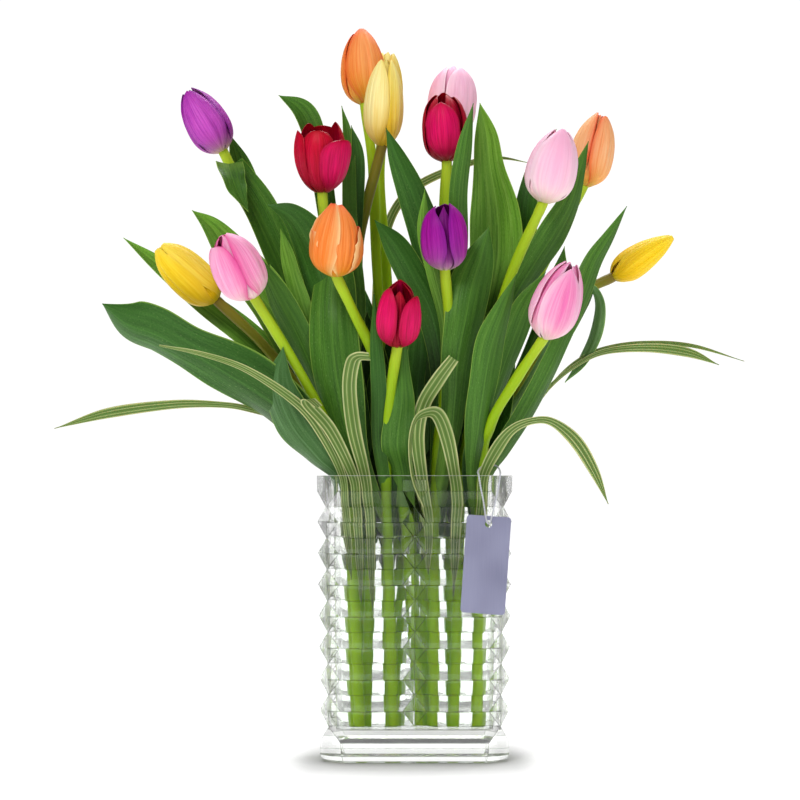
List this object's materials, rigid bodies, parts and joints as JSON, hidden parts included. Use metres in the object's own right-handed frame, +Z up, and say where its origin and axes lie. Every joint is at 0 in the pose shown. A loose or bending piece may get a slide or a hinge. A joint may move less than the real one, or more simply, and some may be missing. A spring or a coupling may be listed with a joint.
{
  "type": "tulips in a vase",
  "caption": "Cut tulips in mixed colours with striped grass blades in a rectangular pressed-glass vase, with a blank hang tag.",
  "frame": {"origin": "on the ground under the middle of the vase", "axes": "+Z up, the front of the bunch with the hang tag towards -Y, +X to its right"},
  "size_m": [0.4874, 0.1977, 0.5274],
  "materials": {
    "clear_glass": "pressed, glossy",
    "water": "clear",
    "leaf": "waxy satin",
    "grass": "satin, cream stripes",
    "petal_purple": "silky",
    "petal_orange": "silky",
    "petal_yellow": "silky",
    "petal_yellow_pale": "silky",
    "petal_pink": "silky",
    "petal_pink_pale": "silky",
    "petal_red": "silky",
    "tag": "satin",
    "string": "twisted thread"
  },
  "bodies": {
    "root": {"vase": "clear_glass", "water": "water", "pink_left_bloom": "petal_pink", "pink_left_stem": "leaf", "yellow_left_bloom": "petal_yellow", "yellow_left_stem": "leaf", "purple_left_bloom": "petal_purple", "purple_left_stem": "leaf", "red_left_bloom": "petal_red", "red_left_stem": "leaf", "yellow_top_bloom": "petal_yellow_pale", "yellow_top_stem": "leaf", "orange_top_bloom": "petal_orange", "orange_top_stem": "leaf", "yellow_back_bloom": "petal_yellow_pale", "yellow_back_stem": "leaf", "red_mid_bloom": "petal_red", "red_mid_stem": "leaf", "orange_mid_bloom": "petal_orange", "orange_mid_stem": "leaf", "red_right_bloom": "petal_red", "red_right_stem": "leaf", "pink_top_bloom": "petal_pink", "pink_top_stem": "leaf", "purple_mid_bloom": "petal_purple", "purple_mid_stem": "leaf", "pink_right_upper_bloom": "petal_pink_pale", "pink_right_upper_stem": "leaf", "orange_right_bloom": "petal_orange", "orange_right_stem": "leaf", "yellow_right_bloom": "petal_yellow", "yellow_right_stem": "leaf", "pink_right_lower_bloom": "petal_pink", "pink_right_lower_stem": "leaf", "grass_1": "grass", "grass_2": "grass", "grass_3": "grass", "grass_4": "grass", "grass_5": "grass", "grass_6": "grass", "grass_7": "grass", "grass_8": "grass", "grass_9": "grass", "grass_10": "grass", "hang_tag": "tag", "tag_string": "string"}
  },
  "joints": []
}
